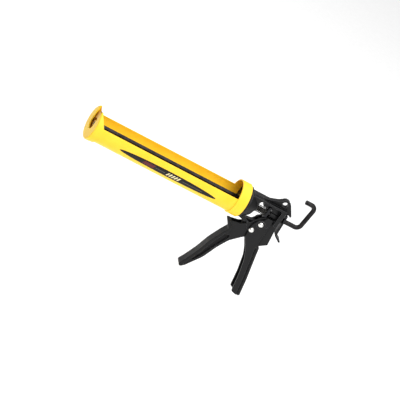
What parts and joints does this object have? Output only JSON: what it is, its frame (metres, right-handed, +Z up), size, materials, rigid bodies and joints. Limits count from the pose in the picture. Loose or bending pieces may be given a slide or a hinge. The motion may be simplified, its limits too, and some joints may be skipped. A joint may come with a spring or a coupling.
{
  "type": "caulking gun",
  "caption": "Cradle-type caulking gun: open steel barrel that swivels on a die-cast frame, hooked push rod, squeeze lever, drive plate and thumb release",
  "frame": {"origin": "on the barrel's axis, at the front face of the front cap, where the cartridge's nozzle leaves", "axes": "+X runs rearward along the push rod, +Z is up and away from the handles, Y is across the gun"},
  "size_m": [0.41, 0.0608, 0.2064],
  "materials": {
    "barrel_paint": "yellow powder coat on rolled steel sheet",
    "label_film": "printed black vinyl film",
    "nylon": "moulded black nylon",
    "black_steel": "black oxide on pressed steel",
    "spring_steel": "oil-tempered spring steel",
    "zinc_steel": "zinc-plated steel",
    "rod_steel": "blackened cold-drawn steel bar",
    "black_casting": "black satin paint on die-cast aluminium",
    "lever_casting": "black satin paint on die-cast aluminium",
    "handle_casting": "black satin paint on die-cast aluminium",
    "bush_steel": "turned plain steel",
    "rivet_nickel": "nickel-plated steel, domed heads"
  },
  "bodies": {
    "grip_frame": {"frame": "black_casting", "frame_head": "black_casting", "front_guide_bush": "bush_steel", "rear_guide_bush": "bush_steel", "rear_handle": "handle_casting", "lever_pivot_rivet": "rivet_nickel", "lever_pivot_bush": "bush_steel", "handle_rivet": "rivet_nickel", "handle_locating_pin": "black_steel", "swivel_washer": "nylon", "swivel_retaining_plate": "black_steel", "swivel_circlip": "spring_steel", "drive_spring": "spring_steel", "release_spring": "spring_steel"},
    "barrel": {"barrel_cradle": "barrel_paint", "front_cap": "barrel_paint", "rear_collar": "barrel_paint", "side_labels": "label_film"},
    "plunger": {"push_plate": "zinc_steel"},
    "rod": {"push_rod": "rod_steel", "push_plate_washer": "zinc_steel", "push_plate_nut": "zinc_steel", "push_plate_jam_nut": "zinc_steel"},
    "lever": {"trigger_lever": "lever_casting"},
    "drive": {"drive_plate": "black_steel"},
    "release": {"release_plate": "black_steel"}
  },
  "joints": [
    {"name": "barrel_swivel", "type": "hinge", "parent": "grip_frame", "child": "barrel", "pos_m": [0.293, 0, 0], "axis": [1, 0, 0], "continuous": true},
    {"name": "plunger_slide", "type": "slide", "parent": "grip_frame", "child": "plunger", "axis": [1, 0, 0], "range_m": [0, 0.27]},
    {"name": "rod_turn", "type": "hinge", "parent": "plunger", "child": "rod", "pos_m": [0.3, 0, 0], "axis": [1, 0, 0], "continuous": true},
    {"name": "trigger_pivot", "type": "hinge", "parent": "grip_frame", "child": "lever", "pos_m": [0.3406, 0, -0.0203], "axis": [0, -1, 0], "range_deg": [0, 33], "stiffness_Nm_per_rad": 0.25, "springref_deg": -34.38},
    {"name": "drive_stroke", "type": "slide", "parent": "grip_frame", "child": "drive", "axis": [-1, 0, 0], "range_m": [0, 0.0066], "deforming": ["drive_spring"]},
    {"name": "release_tilt", "type": "hinge", "parent": "grip_frame", "child": "release", "pos_m": [0.37055, 0, 0.0141], "axis": [0, 1, 0], "range_deg": [0, 4.5], "stiffness_Nm_per_rad": 0.5, "springref_deg": -5.73, "deforming": ["release_spring"]}
  ],
  "couplings": [
    {"joint": "drive_stroke", "follows": "trigger_pivot", "m_per_rad": 0.01134}
  ]
}
